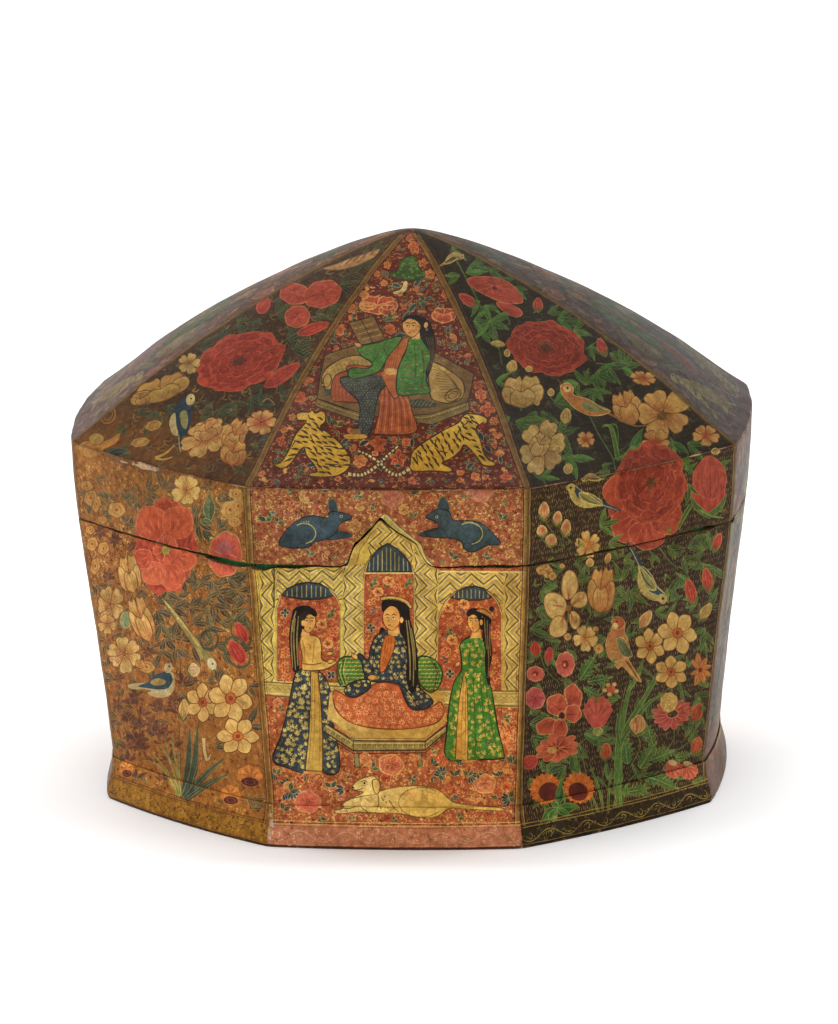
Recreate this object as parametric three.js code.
// Lacquered papier-mache turban box, eight sided: tapering body on a flared foot,
// lift-off lid with a shallow faceted dome. Units mm, +Z up, front facet towards -Y,
// the foot stands on z = 0 and the axis is the Z axis.
import * as THREE from 'three';

// ---- driving dimensions -------------------------------------------------------
const SIDES = 8;               // facets, flats facing +-X and +-Y
const WALL_T = 4.2;            // pasteboard thickness of body walls and lid rim
const ROOF_T = 4.2;            // thickness of the roof gores, measured square to the slope
const MITRE_GAP = 0.15;        // half of the glue line at every mitred arris
const SEAM_GAP = 0.5;          // cut between body and lid
const GLUE_GAP = 0.3;          // glue line between flat parts of neighbouring pieces
const CROWN_BODY = 0.034;      // bow of a wall facet as a share of its width
const CROWN_ROOF = 0.086;      // bow of a roof facet as a share of its width
const COLUMNS = 6;             // strips across a bowed facet

const Z_FOOT_TOP = 19;         // upper edge of the flared foot moulding
const Z_SEAM = 131.6;          // cut line of body and lid
const Z_EAVE = 167.5;          // arris between lid rim and roof
// circumradius of the octagon (axis to corner) against height, outer face
const SHELL = [[0, 143.2], [14, 144.9], [39.7, 147.7], [85.0, 153.4], [131.6, 159.65], [150, 161.3], [167.5, 162.36]];
// roof ridge: circumradius against height, from the eave to the apex
const RIDGE = [[162.36, 167.5], [154.2, 173.0], [142.9, 181.2], [126.6, 193.5], [103.9, 208.1], [81.2, 221.0],
  [56.8, 233.2], [32.5, 243.8], [13.0, 250.5], [4.0, 252.6], [0.9, 253.0]];
// section of the foot moulding, outer side: circumradius against height
const FOOT = [[148.2, 0], [149.1, 2.6], [148.7, 5.0], [147.4, 9.5], [146.4, 14.0]];
const FOOT_EDGE_T = 0.9;       // thickness left at the upper edge of the moulding

const BOARD_T = 5;             // bottom board
const LINING_T = 0.8;          // paper lining on the bottom board
const COLLAR_T = 2.2;          // inner collar that locates the lid
const COLLAR_UP = 8;           // height of the collar above the seam
const COLLAR_DOWN = 13;        // depth of the collar below the seam
// hand-cut ogee tongue on the front wall: sideways position, height above the seam
const TONGUE = [[-20.5, 0], [-17.6, 1.6], [-16.2, 6.0], [-14.4, 10.2], [-8.0, 16.4], [-3.0, 22.4],
  [1.0, 19.2], [4.6, 16.2], [13.0, 11.0], [14.8, 6.2], [17.4, 1.8], [20.5, 0]];

const HALF = Math.PI / SIDES;
const COS = Math.cos(HALF);
const SIN = Math.sin(HALF);

// ---- helpers ------------------------------------------------------------------
function lerpTable(table, key, from, to) {
  if (key <= table[0][from]) return table[0][to];
  for (let i = 1; i < table.length; i += 1) {
    const a = table[i - 1];
    const b = table[i];
    if (key <= b[from]) return a[to] + (b[to] - a[to]) * (key - a[from]) / (b[from] - a[from]);
  }
  return table[table.length - 1][to];
}
const shellR = (z) => lerpTable(SHELL, z, 0, 1);

// crown of the roof grows from the wall value at the eave to the full value higher up
function roofCrown(R) {
  const s = Math.min(1, Math.max(0, (SHELL[SHELL.length - 1][1] - R) / 60));
  return CROWN_BODY + (CROWN_ROOF - CROWN_BODY) * s * s * (3 - 2 * s);
}

// point of facet k: share u in -1..1 across the facet, circumradius R, height z
function facetPoint(k, u, R, z, crown) {
  const a = 2 * HALF * k;
  const h = R * SIN;
  const side = Math.max(0.02, h - MITRE_GAP / COS);
  const out = R * COS + crown * 2 * h * (1 - u * u);
  const x = side * u;
  return [out * Math.sin(a) + x * Math.cos(a), -out * Math.cos(a) + x * Math.sin(a), z];
}

class Builder {
  constructor() { this.pos = []; this.idx = []; }
  add(p) { this.pos.push(p[0], p[1], p[2]); return this.pos.length / 3 - 1; }
  tri(a, b, c) { if (a !== b && b !== c && a !== c) this.idx.push(a, b, c); }
  quad(a, b, c, d) { this.tri(a, b, c); this.tri(a, c, d); }
  geometry() {
    const g = new THREE.BufferGeometry();
    g.setAttribute('position', new THREE.Float32BufferAttribute(this.pos, 3));
    g.setIndex(this.idx);
    g.computeVertexNormals();
    return g;
  }
}

// slab between an outer and an inner grid of points [row][column]; rows go up,
// columns go to the right as seen from outside
function slab(outer, inner) {
  const b = new Builder();
  const o = outer.map((row) => row.map((p) => b.add(p)));
  const n = inner.map((row) => row.map((p) => b.add(p)));
  const R = o.length;
  const C = o[0].length;
  for (let i = 0; i + 1 < R; i += 1) {
    for (let j = 0; j + 1 < C; j += 1) {
      b.quad(o[i][j], o[i][j + 1], o[i + 1][j + 1], o[i + 1][j]);
      b.quad(n[i][j], n[i + 1][j], n[i + 1][j + 1], n[i][j + 1]);
    }
    b.quad(n[i][0], o[i][0], o[i + 1][0], n[i + 1][0]);
    b.quad(o[i][C - 1], n[i][C - 1], n[i + 1][C - 1], o[i + 1][C - 1]);
  }
  for (let j = 0; j + 1 < C; j += 1) {
    b.quad(n[0][j], n[0][j + 1], o[0][j + 1], o[0][j]);
    b.quad(o[R - 1][j], o[R - 1][j + 1], n[R - 1][j + 1], n[R - 1][j]);
  }
  return b.geometry();
}

function evenColumns(n) {
  const us = [];
  for (let i = 0; i <= n; i += 1) us.push(-1 + (2 * i) / n);
  return us;
}
const US = evenColumns(COLUMNS);

// height of the cut line over the seam for a sideways position on the front facet
function tongueRise(x) {
  if (x <= TONGUE[0][0] || x >= TONGUE[TONGUE.length - 1][0]) return 0;
  return lerpTable(TONGUE, x, 0, 1);
}
const SEAM_HALF = shellR(Z_SEAM) * SIN;
const FRONT_US = [-1, -2 / 3, ...TONGUE.map((t) => t[0] / SEAM_HALF), 2 / 3, 1];

// wall or rim panel of one facet between two edges given as functions of u
function panel(k, us, rowsOf) {
  const inset = WALL_T / COS;
  const outer = [];
  const inner = [];
  const rows = rowsOf(0).length;
  for (let i = 0; i < rows; i += 1) {
    outer.push(us.map((u) => { const z = rowsOf(u)[i]; return facetPoint(k, u, shellR(z), z, CROWN_BODY); }));
    inner.push(us.map((u) => { const z = rowsOf(u)[i]; return facetPoint(k, u, shellR(z) - inset, z, CROWN_BODY); }));
  }
  return slab(outer, inner);
}

const group = new THREE.Group();
group.name = 'turban_box';
function node(name, geometry, color, roughness) {
  const m = new THREE.Mesh(geometry, new THREE.MeshStandardMaterial({ color, roughness, metalness: 0 }));
  m.name = name;
  group.add(m);
}

const FACETS = ['front', 'front_right', 'right', 'back_right', 'back', 'back_left', 'left', 'front_left'];
const RED = 0xa8562f;
const OCHRE = 0x9a6a30;
const DARK = 0x4a3b22;
const ground = (k) => (k % 2 === 0 ? RED : (k === 7 || k === 3 ? OCHRE : DARK));

FACETS.forEach((side, k) => {
  const front = k === 0;
  const us = front ? FRONT_US : US;
  const cut = (u) => Z_SEAM + (front ? tongueRise(u * SEAM_HALF) : 0);

  // body wall
  node(`wall_${side}`, panel(k, us, (u) => {
    const top = cut(u);
    return front ? [0, 14, 39.7, 85, 129, top] : [0, 14, 39.7, 85, top];
  }), ground(k), 0.45);

  // lid rim
  node(`rim_${side}`, panel(k, us, (u) => {
    const low = cut(u) + SEAM_GAP;
    return front ? [low, 157, Z_EAVE - MITRE_GAP] : [low, 150, Z_EAVE - MITRE_GAP];
  }), ground(k), 0.45);

  // roof gore
  const zBase = Z_EAVE + MITRE_GAP;
  const outerProfile = RIDGE.map(([R, z], i) => [R, i === 0 ? zBase : z]);
  const innerProfile = RIDGE.map(([R, z], i) => {
    if (i === 0) return [155.4, zBase];
    if (i === 1) return [149.4, zBase + 4.0];
    const p = RIDGE[i - 1];
    const q = RIDGE[Math.min(i + 1, RIDGE.length - 1)];
    const slope = Math.atan2(q[1] - p[1], p[0] - q[0]);
    return [R, z - ROOF_T / Math.cos(slope)];
  });
  const gore = (profile) => profile.map(([R, z]) => US.map((u) => facetPoint(k, u, R, z, roofCrown(R))));
  node(`roof_${side}`, slab(gore(outerProfile), gore(innerProfile)), ground(k), 0.4);

  // foot moulding, planted on the lower edge of the wall
  const back = (z) => shellR(z) + GLUE_GAP / COS;
  const footOuter = [...FOOT, [back(Z_FOOT_TOP) + FOOT_EDGE_T, Z_FOOT_TOP]];
  const footInner = footOuter.map(([, z]) => [back(z), z]);
  const strip = (profile) => profile.map(([R, z]) => US.map((u) => facetPoint(k, u, R, z, CROWN_BODY)));
  node(`foot_${side}`, slab(strip(footOuter), strip(footInner)), front ? 0x9c4a3a : 0x6b4c22, 0.5);

  // inner collar, glued to the wall and standing above the seam
  const wallIn = (z) => shellR(z) - WALL_T / COS - GLUE_GAP / COS;
  const rSeam = wallIn(Z_SEAM);
  const collarOuter = [[wallIn(Z_SEAM - COLLAR_DOWN), Z_SEAM - COLLAR_DOWN], [rSeam, Z_SEAM],
    [rSeam - 0.9, Z_SEAM + COLLAR_UP]];
  const collarInner = collarOuter.map(([R, z]) => [R - COLLAR_T / COS, z]);
  node(`collar_${side}`, slab(strip(collarOuter), strip(collarInner)), 0x1f5a2a, 0.6);
});

// bottom board and its lining, both let in between the walls
function plate(z0, z1) {
  const b = new Builder();
  const ring = (z) => {
    const R = shellR(z0) - WALL_T / COS - GLUE_GAP / COS;
    const pts = [];
    for (let k = 0; k < SIDES; k += 1) {
      const h = R * SIN;
      const a = 2 * HALF * k;
      US.slice(0, -1).forEach((u) => {
        const out = R * COS + CROWN_BODY * 2 * h * (1 - u * u);
        const x = h * u;
        pts.push(b.add([out * Math.sin(a) + x * Math.cos(a), -out * Math.cos(a) + x * Math.sin(a), z]));
      });
    }
    return pts;
  };
  const low = ring(z0);
  const high = ring(z1);
  const cl = b.add([0, 0, z0]);
  const ch = b.add([0, 0, z1]);
  const n = low.length;
  for (let i = 0; i < n; i += 1) {
    const j = (i + 1) % n;
    b.quad(low[i], low[j], high[j], high[i]);
    b.tri(cl, low[j], low[i]);
    b.tri(ch, high[i], high[j]);
  }
  return b.geometry();
}
node('base_board', plate(0, BOARD_T), 0x5b4a30, 0.8);
node('floor_lining', plate(BOARD_T, BOARD_T + LINING_T), 0x24512a, 0.7);

export default group;
